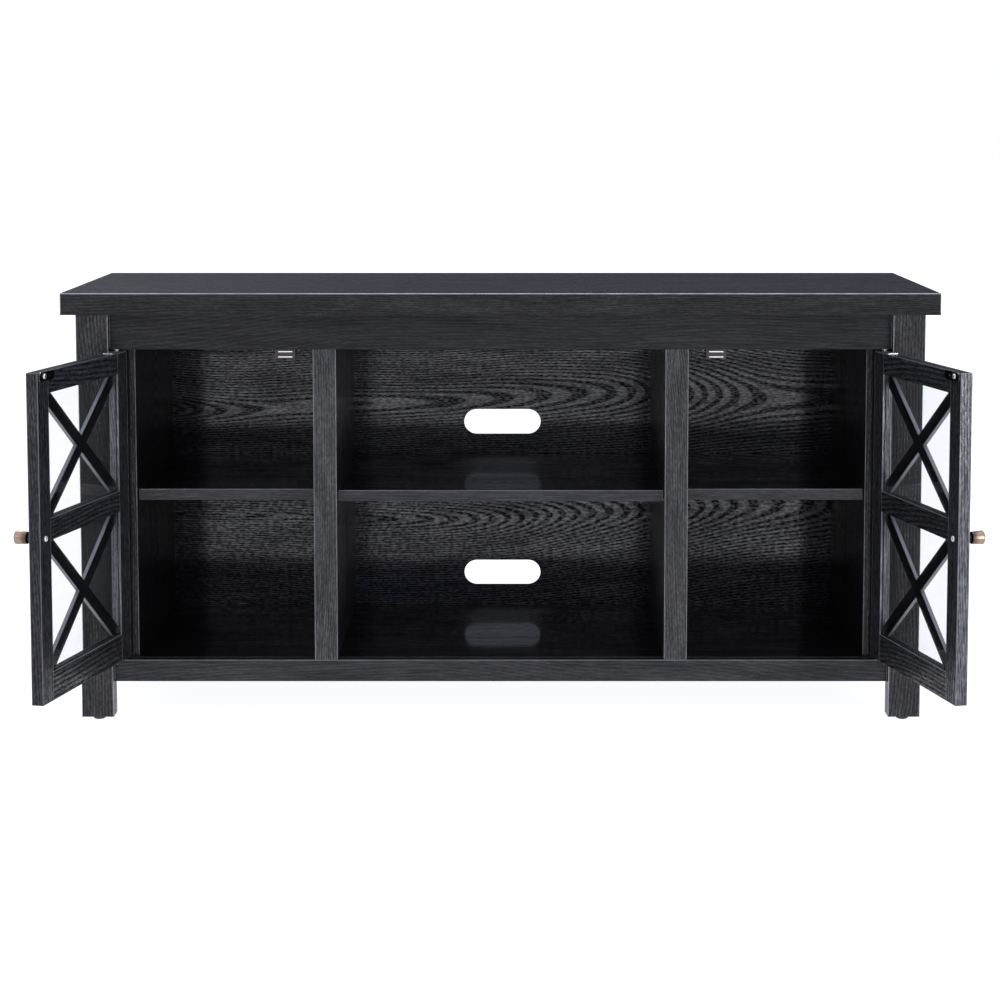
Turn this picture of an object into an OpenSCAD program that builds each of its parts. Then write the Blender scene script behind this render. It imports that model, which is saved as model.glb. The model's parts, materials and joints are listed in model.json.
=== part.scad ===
// Media cabinet: a three-bay case on four legs with two framed glass doors.
// Millimetres. +X right, +Y to the back, +Z up. The origin is on the floor, in the
// middle of the box around the cabinet with both doors standing open.

/* [Overall] */
// Width of the top panel
cabinet_w = 1213; // [1000:1:1480]
// Depth of the top panel
cabinet_d = 400; // [330:1:500]
// Height from the floor to the top surface
cabinet_h = 604; // [500:1:740]

/* [Top panel] */
// Thickness of the top panel
top_t = 30; // [18:0.5:40]
// How far the top stands past the legs at each side
top_side_overhang = 18; // [0:0.5:30]
// How far the top stands past the legs at the front
top_front_overhang = 17; // [0:0.5:30]

/* [Legs] */
// Width of a leg, seen from the front
leg_w = 44.5; // [36:0.5:60]
// Depth of a leg, front to back
leg_d = 28; // [24:0.5:40]
// Diameter of a foot glide
glide_d = 17; // [12:0.5:22]
// Height of a foot glide
glide_h = 5.6; // [3:0.1:10]
// Width and depth of a centre support leg
support_w = 31; // [24:0.5:40]

/* [Front frame] */
// How far the apron, rail and doors stand behind the leg fronts
front_recess = 12; // [6:0.5:14]
// Height of the apron
apron_h = 50.5; // [36:0.5:70]
// Thickness of the apron and the bottom rail
rail_t = 16; // [14:0.5:20]
// Height of the bottom rail
rail_h = 30.6; // [26:0.1:50]
// Floor to the underside of the bottom rail
rail_z = 53.5; // [40:0.5:90]
// Depth of the battens behind the apron
batten_d = 18; // [17:0.5:30]

/* [Case] */
// Thickness of the partitions and the inner side boards
board_t = 32; // [26:0.5:40]
// Thickness of the bottom panel
bottom_t = 16; // [15:0.5:22]
// Thickness of the outer side panels
side_panel_t = 16; // [12:0.5:18]
// How far the side panels stand in from the outside of the legs
side_panel_recess = 10; // [2:0.5:14]
// Height of the spacers between inner side board and side panel
spacer_h = 46; // [32:1:70]
// Clear width of the middle bay
middle_bay_w = 459; // [380:1:540]
// Gap between the back of a closed door and the inner side board
side_board_gap = 3; // [1.5:0.5:8]

/* [Shelves] */
// Thickness of a shelf
shelf_t = 16; // [12:0.5:22]
// Bottom panel to the top of the shelves
shelf_rise = 238; // [150:1:300]
// Middle shelf: distance behind the face of the rail
middle_shelf_setback = 20; // [5:1:60]
// Side shelves: distance behind the face of the rail
side_shelf_setback = 32; // [25:1:80]
// Gap between a shelf and the board at each end
shelf_gap = 0.8; // [0.3:0.1:2]
// Diameter of a shelf pin
shelf_pin_d = 5; // [4:0.5:7]

/* [Back panel] */
// Thickness of the back panel
back_t = 5; // [3:0.5:6.5]
// How far the back panel stands in from the back of the top
back_inset = 2; // [0:0.5:6]
// Gap between the back panel and each rear leg
back_gap = 0.4; // [0.2:0.1:1]
// Length of a cable slot
slot_w = 119; // [80:1:180]
// Height of a cable slot
slot_h = 39; // [25:1:60]
// Centre of a cable slot above the board below it
slot_rise = 50; // [35:1:90]

/* [Doors] */
// Thickness of a door
door_t = 16; // [15:0.1:20]
// Gap beside the hinge edge of a closed door
hinge_gap = 2.4; // [2.2:0.1:4]
// Gap beside the free edge of a closed door
free_gap = 2.4; // [1.5:0.1:4]
// Gap above a door
door_top_gap = 3; // [2.6:0.1:5]
// Gap below a door
door_bottom_gap = 3.9; // [2.6:0.1:6]
// Width of a door's stiles
stile_w = 31; // [25:0.5:45]
// Height of a door's top rail
door_top_rail_h = 29; // [25:0.5:45]
// Height of a door's middle rail
door_middle_rail_h = 29; // [25:0.5:45]
// Height of a door's bottom rail
door_bottom_rail_h = 38; // [25:0.5:60]
// How far the middle rail stands above the middle of the door
middle_rail_lift = 9.6; // [-30:0.1:30]
// How far the doors stand open, measured from closed
open_angle = 104; // [60:1:104]

/* [Door glass and crosses] */
// Thickness of a pane
glass_t = 4; // [3:0.5:4]
// Wood between the inner face of a door and its pane
glass_lip = 3; // [2:0.5:4]
// Depth of the grooves that hold pane and tongues
groove_depth = 6; // [4:0.5:8]
// Play on each side of a pane
glass_play = 0.2; // [0.1:0.05:0.3]
// Width of a cross bar
cross_w = 18; // [12:0.5:26]
// Thickness of a cross bar
cross_t = 6; // [4:0.5:7]

/* [Door pivots] */
// Diameter of a pivot pin
pivot_d = 3.2; // [2.5:0.1:3.4]
// Play between pin and bush, on the radius
pivot_play = 0.05; // [0.02:0.01:0.1]
// Pivot pin to the hinge edge of the door
pivot_from_edge = 6.7; // [6:0.1:9]
// Pivot pin to the outer face of the door
pivot_from_face = 4; // [3.8:0.1:4.4]
// Outer diameter of a bush
bush_d = 5.6; // [5:0.1:6]
// Thickness of a pivot plate
pivot_plate_t = 1.2; // [1:0.1:1.6]
// Length of a pivot plate
pivot_plate_l = 44; // [40:1:60]

/* [Knobs] */
// Diameter of a knob
knob_d = 18; // [14:0.5:26]
// How far a knob stands out of the door
knob_l = 25.5; // [18:0.5:34]

/* [Catches] */
// Centre of a catch to the face of the partition
catch_inset = 40; // [34:0.5:60]
// Width of a catch housing
catch_w = 28; // [24:0.5:34]
// Width of a catch over its ears
catch_ears_w = 44; // [40:0.5:50]
// Height of a catch
catch_h = 14.6; // [12:0.1:18]
// Width of the pole plates
pole_w = 20; // [14:0.5:22]
// Gap between pole plates and strike with the door closed
catch_gap = 0.4; // [0.3:0.1:1]
// Thickness of a strike plate
strike_t = 0.8; // [0.6:0.1:1.2]
// Height of a strike plate
strike_h = 12; // [9:0.5:14]

/* [Hidden] */
$fn = 48;

// Colours
BLACK_OAK = "#24262b";
DARK_CORE = "#3a3229";
BEECH = "#c9a878";
ZINC = "#b4b4b0";
NICKEL = "#c8c8c6";
BRONZE = "#6b5542";
BROWN_PLASTIC = "#5a3d2e";
BLACK_PLASTIC = "#18181a";
NYLON = "#e6e4dc";
CLEAR = [0.75, 0.8, 0.82, 0.35];

// Heights
top_z = cabinet_h - top_t;
apron_z = top_z - apron_h;
floor_z = rail_z + rail_h;
bottom_z = floor_z - bottom_t;
shelf_z = floor_z + shelf_rise - shelf_t;
opening_h = apron_z - floor_z;

// Distances from the middle plane
leg_out = cabinet_w / 2 - top_side_overhang;
leg_in = leg_out - leg_w;
side_in = leg_in - board_t;
part_in = middle_bay_w / 2;
part_out = part_in + board_t;
board_centres = [-(side_in + board_t / 2), -(part_in + board_t / 2),
                 part_in + board_t / 2, side_in + board_t / 2];
side_panel_out = leg_out - side_panel_recess;
side_panel_in = side_panel_out - side_panel_t;

// Door, drawn closed: x from the hinge edge, y from the outer face, z from the bottom edge
door_w = leg_in - part_out - hinge_gap - free_gap;
door_h = opening_h - door_top_gap - door_bottom_gap;
door_z = floor_z + door_bottom_gap;
cell_x = [stile_w, door_w - stile_w];
middle_rail_z = door_h / 2 + middle_rail_lift - door_middle_rail_h / 2;
lower_cell = [door_bottom_rail_h, middle_rail_z];
upper_cell = [middle_rail_z + door_middle_rail_h, door_h - door_top_rail_h];
glass_y = door_t - glass_lip - glass_t;
cross_gap = 0.4;
cross_y = glass_y - cross_gap - cross_t;
tongue_play = 0.5;
pane_edge_play = 1;
pivot_x = leg_in - hinge_gap - pivot_from_edge;
pivot_behind_leg = front_recess + pivot_from_face;

// Where the centre supports stand: in from a partition's outer face, and back of the middle
support_inset = 7.5;
support_shift = 35;

// Depths: the legs' front plane is set so that the open doors' tips and the back of
// the top are equally far from the origin
door_tip = pivot_behind_leg - (door_w - pivot_from_edge) * sin(open_angle)
           + (door_t - pivot_from_face) * cos(open_angle);
front = -(cabinet_d - top_front_overhang + door_tip) / 2;
back = front + cabinet_d - top_front_overhang;
frame_face = front + front_recess;
frame_back = frame_face + rail_t;
panel_front = back - back_inset - back_t;
side_board_front = frame_face + door_t + side_board_gap;
rear_leg_front = back - leg_d;
support_x = part_out - support_inset;
support_y = (front + back) / 2 + support_shift;
pivot_y = front + pivot_behind_leg;

// How far a cutting solid runs past the face it cuts
past = 1;

// Fasteners: play in their bores, sizes, and places given as distances from the
// front and the back, or from the bottom and the top, of the boards they join
fit = 0.05;
dowel_d = 8;
dowel_l = 30;
dowel_short = 10;
cam_d = 15;
cam_t = 12;
cam_drop = 34;
cam_bolt_d = 6;
cam_bolt_up = 11;
cam_bolt_start = 1;
cam_cross = [7, 1.4, 2];
base_screw_d = 5;
base_screw_l = 45;
base_screw_head = [9.5, 3];
nail_d = 1.6;
nail_l = 22;
nail_head = [4, 0.6];
pin_in = 10;
pin_out = 8;
dowel_inset = [80, 50];
cam_inset = [130, 90];
base_screw_inset = [120, 100];
side_dowel_inset = [36, 30];
apron_dowel_inset = [apron_h * 0.45, 12];
rail_dowel_rise = 9;
pin_inset = [35, 45];
nails_per_board = 5;
dowel_ys = [front + dowel_inset[0], back - dowel_inset[1]];
cam_ys = [front + cam_inset[0], back - cam_inset[1]];
base_screw_ys = [front + base_screw_inset[0], back - base_screw_inset[1]];
side_dowel_zs = [floor_z + side_dowel_inset[0], apron_z - side_dowel_inset[1]];
apron_dowel_zs = [apron_z + apron_dowel_inset[0], top_z - apron_dowel_inset[1]];
nail_zs = [for (k = [1 : nails_per_board]) floor_z + k * (top_z - floor_z) / (nails_per_board + 1)];

// A dowel's place: the point where two boards meet, its axis, and which way its
// short end points along that axis
dowel_spots = concat(
    [for (x = board_centres, y = dowel_ys) [[x, y, floor_z], "z", -1]],
    [for (x = board_centres, y = dowel_ys) [[x, y, top_z], "z", 1]],
    [for (s = [-1, 1], z = apron_dowel_zs) [[s * leg_in, frame_face + rail_t / 2, z], "x", s]],
    [for (s = [-1, 1]) [[s * leg_in, frame_face + rail_t / 2, rail_z + rail_dowel_rise], "x", s]],
    [for (s = [-1, 1], z = side_dowel_zs)
        [[s * (side_panel_in + side_panel_t / 2), front + leg_d, z], "y", -1]],
    [for (s = [-1, 1], z = side_dowel_zs)
        [[s * (side_panel_in + side_panel_t / 2), rear_leg_front, z], "y", 1]],
    [for (s = [-1, 1]) [[s * support_x, support_y, bottom_z], "z", 1]]);

// A cam's place: the face of the board it sits in, the way into the board, and its y
cam_spots = [for (s = [-1, 1], f = [[side_in, 1], [part_out, -1]], y = cam_ys)
    [s * f[0], s * f[1], y]];

// A shelf pin's place: the face of the board and the way out of it
middle_pin_ys = [frame_face + middle_shelf_setback + pin_inset[0], panel_front - pin_inset[1]];
side_pin_ys = [frame_face + side_shelf_setback + pin_inset[0], panel_front - pin_inset[1]];
pin_spots = concat(
    [for (s = [-1, 1], y = middle_pin_ys) [s * part_in, -s, y]],
    [for (s = [-1, 1], y = side_pin_ys) [s * part_out, s, y]],
    [for (s = [-1, 1], y = side_pin_ys) [s * side_in, -s, y]]);

// ---- helpers ----

module block(lo, hi) { translate(lo) cube(hi - lo); }

// Drawn for the right side; side -1 gives its mirror image on the left
module sided(side) { mirror([side < 0 ? 1 : 0, 0, 0]) children(); }

// Turns +Z to the named axis
module along(axis) {
    rotate(axis == "x" ? [0, 90, 0] : axis == "y" ? [-90, 0, 0] : [0, 0, 0]) children();
}

// A rod on the named axis, from one place to another along it
module rod(p, axis, from, to, d) {
    translate(p) along(axis) translate([0, 0, from]) cylinder(d = d, h = to - from);
}

module dowel(spot, play) {
    short_end = dowel_short + play;
    long_end = dowel_l - dowel_short + play;
    rod(spot[0], spot[1], spot[2] > 0 ? -long_end : -short_end,
        spot[2] > 0 ? short_end : long_end, dowel_d + 2 * play);
}

module dowel_bores() { for (spot = dowel_spots) dowel(spot, fit); }

module cam_bores() {
    for (c = cam_spots) {
        translate([c[0], c[2], top_z - cam_drop]) rotate([0, c[1] * 90, 0])
            translate([0, 0, -past]) cylinder(d = cam_d + 2 * fit, h = cam_t + fit + past);
        rod([c[0] + c[1] * cam_t / 2, c[2], top_z - cam_drop], "z",
            0, cam_drop + cam_bolt_up + fit, cam_bolt_d + 2 * fit);
    }
}

module base_screw(x, y, play) {
    rod([x, y, bottom_z], "z", -play, base_screw_head[1] + play, base_screw_head[0] + 2 * play);
    rod([x, y, bottom_z], "z", 0, base_screw_l + play, base_screw_d + 2 * play);
}

module base_screw_bores() { for (x = board_centres, y = base_screw_ys) base_screw(x, y, fit); }

module pin_bores() {
    for (p = pin_spots)
        translate([p[0], p[2], shelf_z - shelf_pin_d / 2]) rotate([0, p[1] * 90, 0])
            translate([0, 0, -pin_in - fit]) cylinder(d = shelf_pin_d + 2 * fit, h = pin_in + fit + past);
}

module nail(x, z, play) {
    rod([x, panel_front, z], "y", back_t - nail_l - play, back_t, nail_d + 2 * play);
}

module nail_bores() { for (x = board_centres, z = nail_zs) nail(x, z, fit); }

// Everything that is drilled or bored in the boards of the case
module case_bores() {
    dowel_bores();
    cam_bores();
    base_screw_bores();
    pin_bores();
    nail_bores();
}

// ---- case ----

module top_panel() {
    color(BLACK_OAK) difference() {
        block([-cabinet_w / 2, front - top_front_overhang, top_z], [cabinet_w / 2, back, cabinet_h]);
        dowel_bores();
        cam_bores();
    }
}

module pivot_bores(z, direction) {
    for (s = [-1, 1])
        rod([s * pivot_x, pivot_y, z], "z", direction > 0 ? -past : -bush_sunk - fit,
            direction > 0 ? bush_sunk + fit : past, bush_d + 2 * fit);
}

module apron() {
    color(BLACK_OAK) difference() {
        block([-leg_in, frame_face, apron_z], [leg_in, frame_back, top_z]);
        dowel_bores();
        pivot_bores(apron_z, 1);
    }
}

module bottom_rail() {
    color(BLACK_OAK) difference() {
        block([-leg_in, frame_face, rail_z], [leg_in, frame_back, floor_z]);
        dowel_bores();
        pivot_bores(floor_z, -1);
    }
}

// Three battens behind the apron, one between each two boards
module top_battens() {
    color(BLACK_OAK) difference() {
        union() {
            block([-part_in, frame_back, apron_z], [part_in, frame_back + batten_d, top_z]);
            for (s = [-1, 1]) sided(s)
                block([part_out, frame_back, apron_z], [side_in, frame_back + batten_d, top_z]);
        }
        for (s = [-1, 1], e = [-1, 1])
            rod([s * catch_x + e * catch_screw_x, catch_y, apron_z], "z",
                -past, catch_screw_l + fit, catch_screw_d + 2 * fit);
    }
}

module leg(side, y) {
    color(BLACK_OAK) difference() {
        sided(side) block([leg_in, y, glide_h], [leg_out, y + leg_d, top_z]);
        dowel_bores();
        glide_bore(side * (leg_in + leg_w / 2), y + leg_d / 2);
    }
}

module front_leg_left() { leg(-1, front); }
module front_leg_right() { leg(1, front); }
module rear_leg_left() { leg(-1, rear_leg_front); }
module rear_leg_right() { leg(1, rear_leg_front); }

module side_board(side) {
    color(BLACK_OAK) difference() {
        sided(side) block([side_in, side_board_front, floor_z], [leg_in, panel_front, top_z]);
        case_bores();
    }
}

module side_board_left() { side_board(-1); }
module side_board_right() { side_board(1); }

module side_panel(side) {
    color(BLACK_OAK) difference() {
        sided(side) block([side_panel_in, front + leg_d, rail_z],
                          [side_panel_out, rear_leg_front, top_z]);
        dowel_bores();
    }
}

module side_panel_left() { side_panel(-1); }
module side_panel_right() { side_panel(1); }

module side_spacers() {
    color(DARK_CORE) for (s = [-1, 1], z = [rail_z, top_z - spacer_h])
        sided(s) block([leg_in, front + leg_d, z], [side_panel_in, rear_leg_front, z + spacer_h]);
}

module bottom_panel() {
    color(BLACK_OAK) difference() {
        block([-leg_in, frame_back, bottom_z], [leg_in, panel_front, floor_z]);
        dowel_bores();
        base_screw_bores();
        nail_bores();
    }
}

// The front of a partition is cut back at the top for the apron
module partition(side) {
    color(BLACK_OAK) difference() {
        sided(side) block([part_in, frame_face, floor_z], [part_out, panel_front, top_z]);
        sided(side) block([part_in - past, frame_face - past, apron_z],
                          [part_out + past, frame_back, top_z + past]);
        case_bores();
    }
}

module partition_left() { partition(-1); }
module partition_right() { partition(1); }

module side_shelf(side) {
    color(BLACK_OAK) sided(side)
        block([part_out + shelf_gap, frame_face + side_shelf_setback, shelf_z],
              [side_in - shelf_gap, panel_front - shelf_gap, shelf_z + shelf_t]);
}

module shelf_left() { side_shelf(-1); }
module shelf_right() { side_shelf(1); }

module shelf_middle() {
    color(BLACK_OAK)
        block([shelf_gap - part_in, frame_face + middle_shelf_setback, shelf_z],
              [part_in - shelf_gap, panel_front - shelf_gap, shelf_z + shelf_t]);
}

// A long hole with round ends, cut right through the back panel
module cable_slot(z) {
    reach = (slot_w - slot_h) / 2;
    block([-reach, panel_front - past, z - slot_h / 2],
          [reach, panel_front + back_t + past, z + slot_h / 2]);
    for (s = [-1, 1]) rod([s * reach, panel_front, z], "y", -past, back_t + past, slot_h);
}

module back_panel() {
    reach = leg_in - back_gap;
    color(BLACK_OAK) difference() {
        block([-reach, panel_front, bottom_z], [reach, panel_front + back_t, top_z]);
        cable_slot(floor_z + slot_rise);
        cable_slot(shelf_z + shelf_t + slot_rise);
        nail_bores();
    }
}

// ---- feet ----

module support_leg(side) {
    x = side * support_x;
    color(BLACK_OAK) difference() {
        block([x - support_w / 2, support_y - support_w / 2, glide_h],
              [x + support_w / 2, support_y + support_w / 2, bottom_z]);
        dowel_bores();
        glide_bore(x, support_y);
    }
}

module support_leg_left() { support_leg(-1); }
module support_leg_right() { support_leg(1); }

glide_spots = [for (s = [-1, 1], p = [[leg_in + leg_w / 2, front + leg_d / 2],
                                      [leg_in + leg_w / 2, rear_leg_front + leg_d / 2],
                                      [support_x, support_y]]) [s * p[0], p[1]]];
glide_nail_d = 3;
glide_nail_l = 14;
glide_edge = 1;

module glide_bore(x, y) { rod([x, y, glide_h], "z", -past, glide_nail_l + fit, glide_nail_d + 2 * fit); }

// Nail-on glides: a dished button with its nail
module foot_glides() {
    color(BLACK_PLASTIC) for (p = glide_spots) {
        translate([p[0], p[1], 0]) cylinder(d1 = glide_d - 2 * glide_edge, d2 = glide_d, h = glide_edge);
        translate([p[0], p[1], glide_edge]) cylinder(d = glide_d, h = glide_h - glide_edge);
        rod([p[0], p[1], glide_h], "z", -glide_edge, glide_nail_l, glide_nail_d);
    }
}

// ---- fasteners of the case ----

module dowels() { color(BEECH) for (spot = dowel_spots) dowel(spot, 0); }

module cam_bolts() {
    color(ZINC) for (c = cam_spots)
        rod([c[0] + c[1] * cam_t / 2, c[2], top_z - cam_drop], "z",
            cam_bolt_start, cam_drop + cam_bolt_up, cam_bolt_d);
}

// Each cam is hollow where the head of its bolt goes, and has a driver cross
module cam_locks() {
    color(ZINC) for (c = cam_spots)
        translate([c[0], c[2], top_z - cam_drop]) difference() {
            rotate([0, c[1] * 90, 0]) cylinder(d = cam_d, h = cam_t);
            rod([c[1] * cam_t / 2, 0, 0], "z", cam_bolt_start - fit, cam_d, cam_bolt_d + 4 * fit);
            for (a = [45, -45]) rotate([a, 0, 0])
                cube([cam_cross[2] * 2, cam_cross[1], cam_cross[0]], center = true);
        }
}

module base_screws() { color(ZINC) for (x = board_centres, y = base_screw_ys) base_screw(x, y, 0); }

module back_nails() {
    color(ZINC) for (x = board_centres, z = nail_zs) {
        nail(x, z, 0);
        rod([x, panel_front, z], "y", back_t, back_t + nail_head[1], nail_head[0]);
    }
}

module shelf_pins() {
    color(NICKEL) for (p = pin_spots)
        translate([p[0], p[2], shelf_z - shelf_pin_d / 2]) rotate([0, p[1] * 90, 0])
            translate([0, 0, -pin_in]) cylinder(d = shelf_pin_d, h = pin_in + pin_out);
}

// ---- magnetic catches, under the side battens ----

catch_x = part_out + catch_inset;
catch_front = frame_face + door_t + strike_t + catch_gap;
pole_proud = 1;
catch_screw_shift = 0.5;
catch_y = frame_back + batten_d / 2 + catch_screw_shift;
catch_back = frame_back + batten_d;
ear_t = 2.6;
catch_screw_x = (catch_w + catch_ears_w) / 4;
catch_screw_d = 2.8;
catch_screw_l = 13;
catch_screw_head = [5.6, 1.6];
pole_t = 1.6;
pole_gap = 7.4;
catch_mid_z = apron_z - ear_t - (catch_h - ear_t) / 2;
pole_l = 12;
magnet_short = 1;
ear_setback = 1;

module pole(side, play) {
    for (s = [-1, 1])
        translate([side * catch_x, catch_front + pole_l / 2 + pole_proud, catch_mid_z + s * pole_gap / 2])
            cube([pole_w + 2 * play, pole_l + 2 * pole_proud + 2 * play, pole_t + 2 * play], center = true);
}

module magnet(side, play) {
    translate([side * catch_x, catch_front + pole_proud + pole_l / 2 + magnet_short, catch_mid_z])
        cube([pole_w + 2 * play, pole_l - 2 * magnet_short + 2 * play, pole_gap - pole_t], center = true);
}

module catch_housings() {
    color(BROWN_PLASTIC) for (side = [-1, 1]) difference() {
        union() {
            block([side * catch_x - catch_w / 2, catch_front + pole_proud, apron_z - catch_h],
                  [side * catch_x + catch_w / 2, catch_back, apron_z]);
            block([side * catch_x - catch_ears_w / 2, catch_front + pole_proud + ear_setback, apron_z - ear_t],
                  [side * catch_x + catch_ears_w / 2, catch_back, apron_z]);
        }
        pole(side, fit);
        magnet(side, fit);
        for (e = [-1, 1])
            rod([side * catch_x + e * catch_screw_x, catch_y, apron_z], "z",
                -catch_h, past, catch_screw_d + 2 * fit);
    }
}

module catch_poles() { color(NICKEL) for (side = [-1, 1]) pole(side, 0); }

module catch_magnets() { color(BLACK_PLASTIC) for (side = [-1, 1]) magnet(side, 0); }

module catch_screws() {
    color(NICKEL) for (side = [-1, 1], e = [-1, 1]) {
        x = side * catch_x + e * catch_screw_x;
        rod([x, catch_y, apron_z], "z", -ear_t, catch_screw_l, catch_screw_d);
        rod([x, catch_y, apron_z], "z", -ear_t - catch_screw_head[1], -ear_t, catch_screw_head[0]);
    }
}

// ---- door pivots ----

bush_sunk = 10;
bush_flange_d = 7.4;
pin_reach = 8;
top_flange_t = 0.8;
flange_clearance = 0.3;
bottom_flange_t = door_bottom_gap - pivot_plate_t - flange_clearance;

// A bush with its flange, drawn for the top: mouth down, flange below the apron
module bush(flange_t) {
    difference() {
        union() {
            cylinder(d = bush_d, h = bush_sunk);
            translate([0, 0, -flange_t]) cylinder(d = bush_flange_d, h = flange_t);
        }
        translate([0, 0, -flange_t - past])
            cylinder(d = pivot_d + 2 * pivot_play, h = flange_t + bush_sunk + 2 * past);
    }
}

module pivot_bushes() {
    color(NYLON) for (s = [-1, 1]) {
        translate([s * pivot_x, pivot_y, apron_z]) bush(top_flange_t);
        translate([s * pivot_x, pivot_y, floor_z]) mirror([0, 0, 1]) bush(bottom_flange_t);
    }
}

// ---- doors ----

// Drawn closed as the left door; side 1 gives the right door. Both stand open.
module on_door(side) {
    sided(-side) translate([-pivot_x, pivot_y, door_z]) rotate([0, 0, -open_angle])
        translate([-pivot_from_edge, -pivot_from_face, 0]) children();
}

// The groove for panes and tongues in a stile, along its inner edge
groove_end = 7;

module stile_groove(x, way) {
    block([way > 0 ? x - groove_depth : x - past, glass_y - glass_play, groove_end],
          [way > 0 ? x + past : x + groove_depth, glass_y + glass_t + glass_play, door_h - groove_end]);
}

pivot_plate_w = 14;
pivot_plate_margin = 1;
pivot_plate_y = [pivot_plate_margin, pivot_plate_margin + pivot_plate_w];
pivot_plate_x = [pivot_plate_margin, pivot_plate_margin + pivot_plate_l];
plate_screw_inset = [18, 6];
plate_screw_xs = [plate_screw_inset[0], pivot_plate_x[1] - plate_screw_inset[1]];
plate_screw_y = door_t / 2;
plate_screw_d = 2.6;
plate_screw_l = 13;
plate_screw_head_d = 5.4;
strike_reach = [48, 4];
strike_x = [door_w - strike_reach[0], door_w - strike_reach[1]];
strike_screw_x = door_w - 20;
strike_dot_x = door_w - 32;
strike_dot_d = 2;
strike_z = door_h - strike_h / 2;
strike_screw_l = 11;
strike_head = [6.4, 1.2];
knob_screw_d = 4;
knob_screw_head = [8, 5];
knob_screw_head_t = [1, 0.8];
knob_bore_l = 12;
knob_bore_spare = 0.5;
knob_z = door_h / 2;
knob_x = door_w - stile_w / 2;
// The knob's profile from the door outwards: share of its radius, share of its length
knob_profile = [
    [0, 0], [0.62, 0], [0.62, 0.063], [0.5, 0.102], [0.46, 0.3], [0.72, 0.36], [0.86, 0.42],
    [0.92, 0.55], [1, 0.9], [1, 0.955], [0.93, 1], [0, 1]];

// The screws of the pivot plates and the strike, as shanks
module door_shanks(play) {
    for (x = plate_screw_xs) {
        rod([x, plate_screw_y, door_h], "z", -plate_screw_l - play, 0, plate_screw_d + 2 * play);
        rod([x, plate_screw_y, 0], "z", 0, plate_screw_l + play, plate_screw_d + 2 * play);
    }
    rod([strike_screw_x, door_t, strike_z], "y", -strike_screw_l - play, 0, plate_screw_d + 2 * play);
}

module hinge_stile(side) {
    color(BLACK_OAK) on_door(side) difference() {
        block([0, 0, 0], [stile_w, door_t, door_h]);
        stile_groove(stile_w, 1);
        door_shanks(fit);
    }
}

module free_stile(side) {
    color(BLACK_OAK) on_door(side) difference() {
        block([door_w - stile_w, 0, 0], [door_w, door_t, door_h]);
        stile_groove(door_w - stile_w, -1);
        door_shanks(fit);
        rod([knob_x, 0, knob_z], "y", -past, door_t + past, knob_screw_d + 2 * fit);
    }
}

// A rail from height z0 to z1, with a tongue at each end and a groove in each edge named
module door_rail(side, z0, z1, groove_below, groove_above) {
    color(BLACK_OAK) on_door(side) difference() {
        union() {
            block([cell_x[0], 0, z0], [cell_x[1], door_t, z1]);
            block([cell_x[0] - groove_depth + tongue_play, glass_y, z0 + groove_end],
                  [cell_x[1] + groove_depth - tongue_play, glass_y + glass_t, z1 - groove_end]);
        }
        if (groove_below)
            block([cell_x[0] - past, glass_y - glass_play, z0 - past],
                  [cell_x[1] + past, glass_y + glass_t + glass_play, z0 + groove_depth]);
        if (groove_above)
            block([cell_x[0] - past, glass_y - glass_play, z1 - groove_depth],
                  [cell_x[1] + past, glass_y + glass_t + glass_play, z1 + past]);
        door_shanks(fit);
    }
}

module top_rail(side) { door_rail(side, upper_cell[1], door_h, true, false); }
module middle_rail(side) { door_rail(side, lower_cell[1], upper_cell[0], true, true); }
module door_bottom_rail(side) { door_rail(side, 0, lower_cell[0], false, true); }

// One bar of a cross, corner to corner of its cell; way 1 rises towards the free edge,
// and extra widens it
module cross_bar(cell, way, y0, y1, extra) {
    w = cell_x[1] - cell_x[0];
    h = cell[1] - cell[0];
    intersection() {
        block([cell_x[0], y0, cell[0]], [cell_x[1], y1, cell[1]]);
        translate([(cell_x[0] + cell_x[1]) / 2, (y0 + y1) / 2, (cell[0] + cell[1]) / 2])
            rotate([0, -way * atan2(h, w), 0]) cube([w + h, y1 - y0, cross_w + extra], center = true);
    }
}

// Two bars, halved into each other; the bar that is whole on the inner side is the
// same way up on both doors
module cross(side, cell) {
    whole = side < 0 ? 1 : -1;
    mid = cross_y + cross_t / 2;
    color(BLACK_OAK) on_door(side) {
        difference() {
            cross_bar(cell, whole, cross_y, cross_y + cross_t, 0);
            cross_bar(cell, -whole, cross_y - past, mid + fit, 2 * fit);
        }
        difference() {
            cross_bar(cell, -whole, cross_y, cross_y + cross_t, 0);
            cross_bar(cell, whole, mid - fit, cross_y + cross_t + past, 2 * fit);
        }
    }
}

module glass(side) {
    edge = groove_depth - pane_edge_play;
    color(CLEAR) on_door(side) for (cell = [lower_cell, upper_cell])
        block([cell_x[0] - edge, glass_y, cell[0] - edge],
              [cell_x[1] + edge, glass_y + glass_t, cell[1] + edge]);
}

// A turned knob: foot ring, waist, and a head that widens to its rim
module knob(side) {
    color(BRONZE) on_door(side) translate([knob_x, 0, knob_z]) rotate([90, 0, 0])
        difference() {
            rotate_extrude() polygon([for (p = knob_profile) [p[0] * knob_d / 2, p[1] * knob_l]]);
            translate([0, 0, -past]) cylinder(d = knob_screw_d + 2 * fit, h = knob_bore_l + past);
        }
}

module knob_screw(side) {
    color(NICKEL) on_door(side) {
        rod([knob_x, 0, knob_z], "y", knob_bore_spare - knob_bore_l, door_t, knob_screw_d);
        translate([knob_x, door_t, knob_z]) along("y")
            cylinder(d = knob_screw_head[0], h = knob_screw_head_t[0]);
        translate([knob_x, door_t + knob_screw_head_t[0], knob_z]) along("y")
            cylinder(d1 = knob_screw_head[0], d2 = knob_screw_head[1], h = knob_screw_head_t[1]);
    }
}

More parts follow.
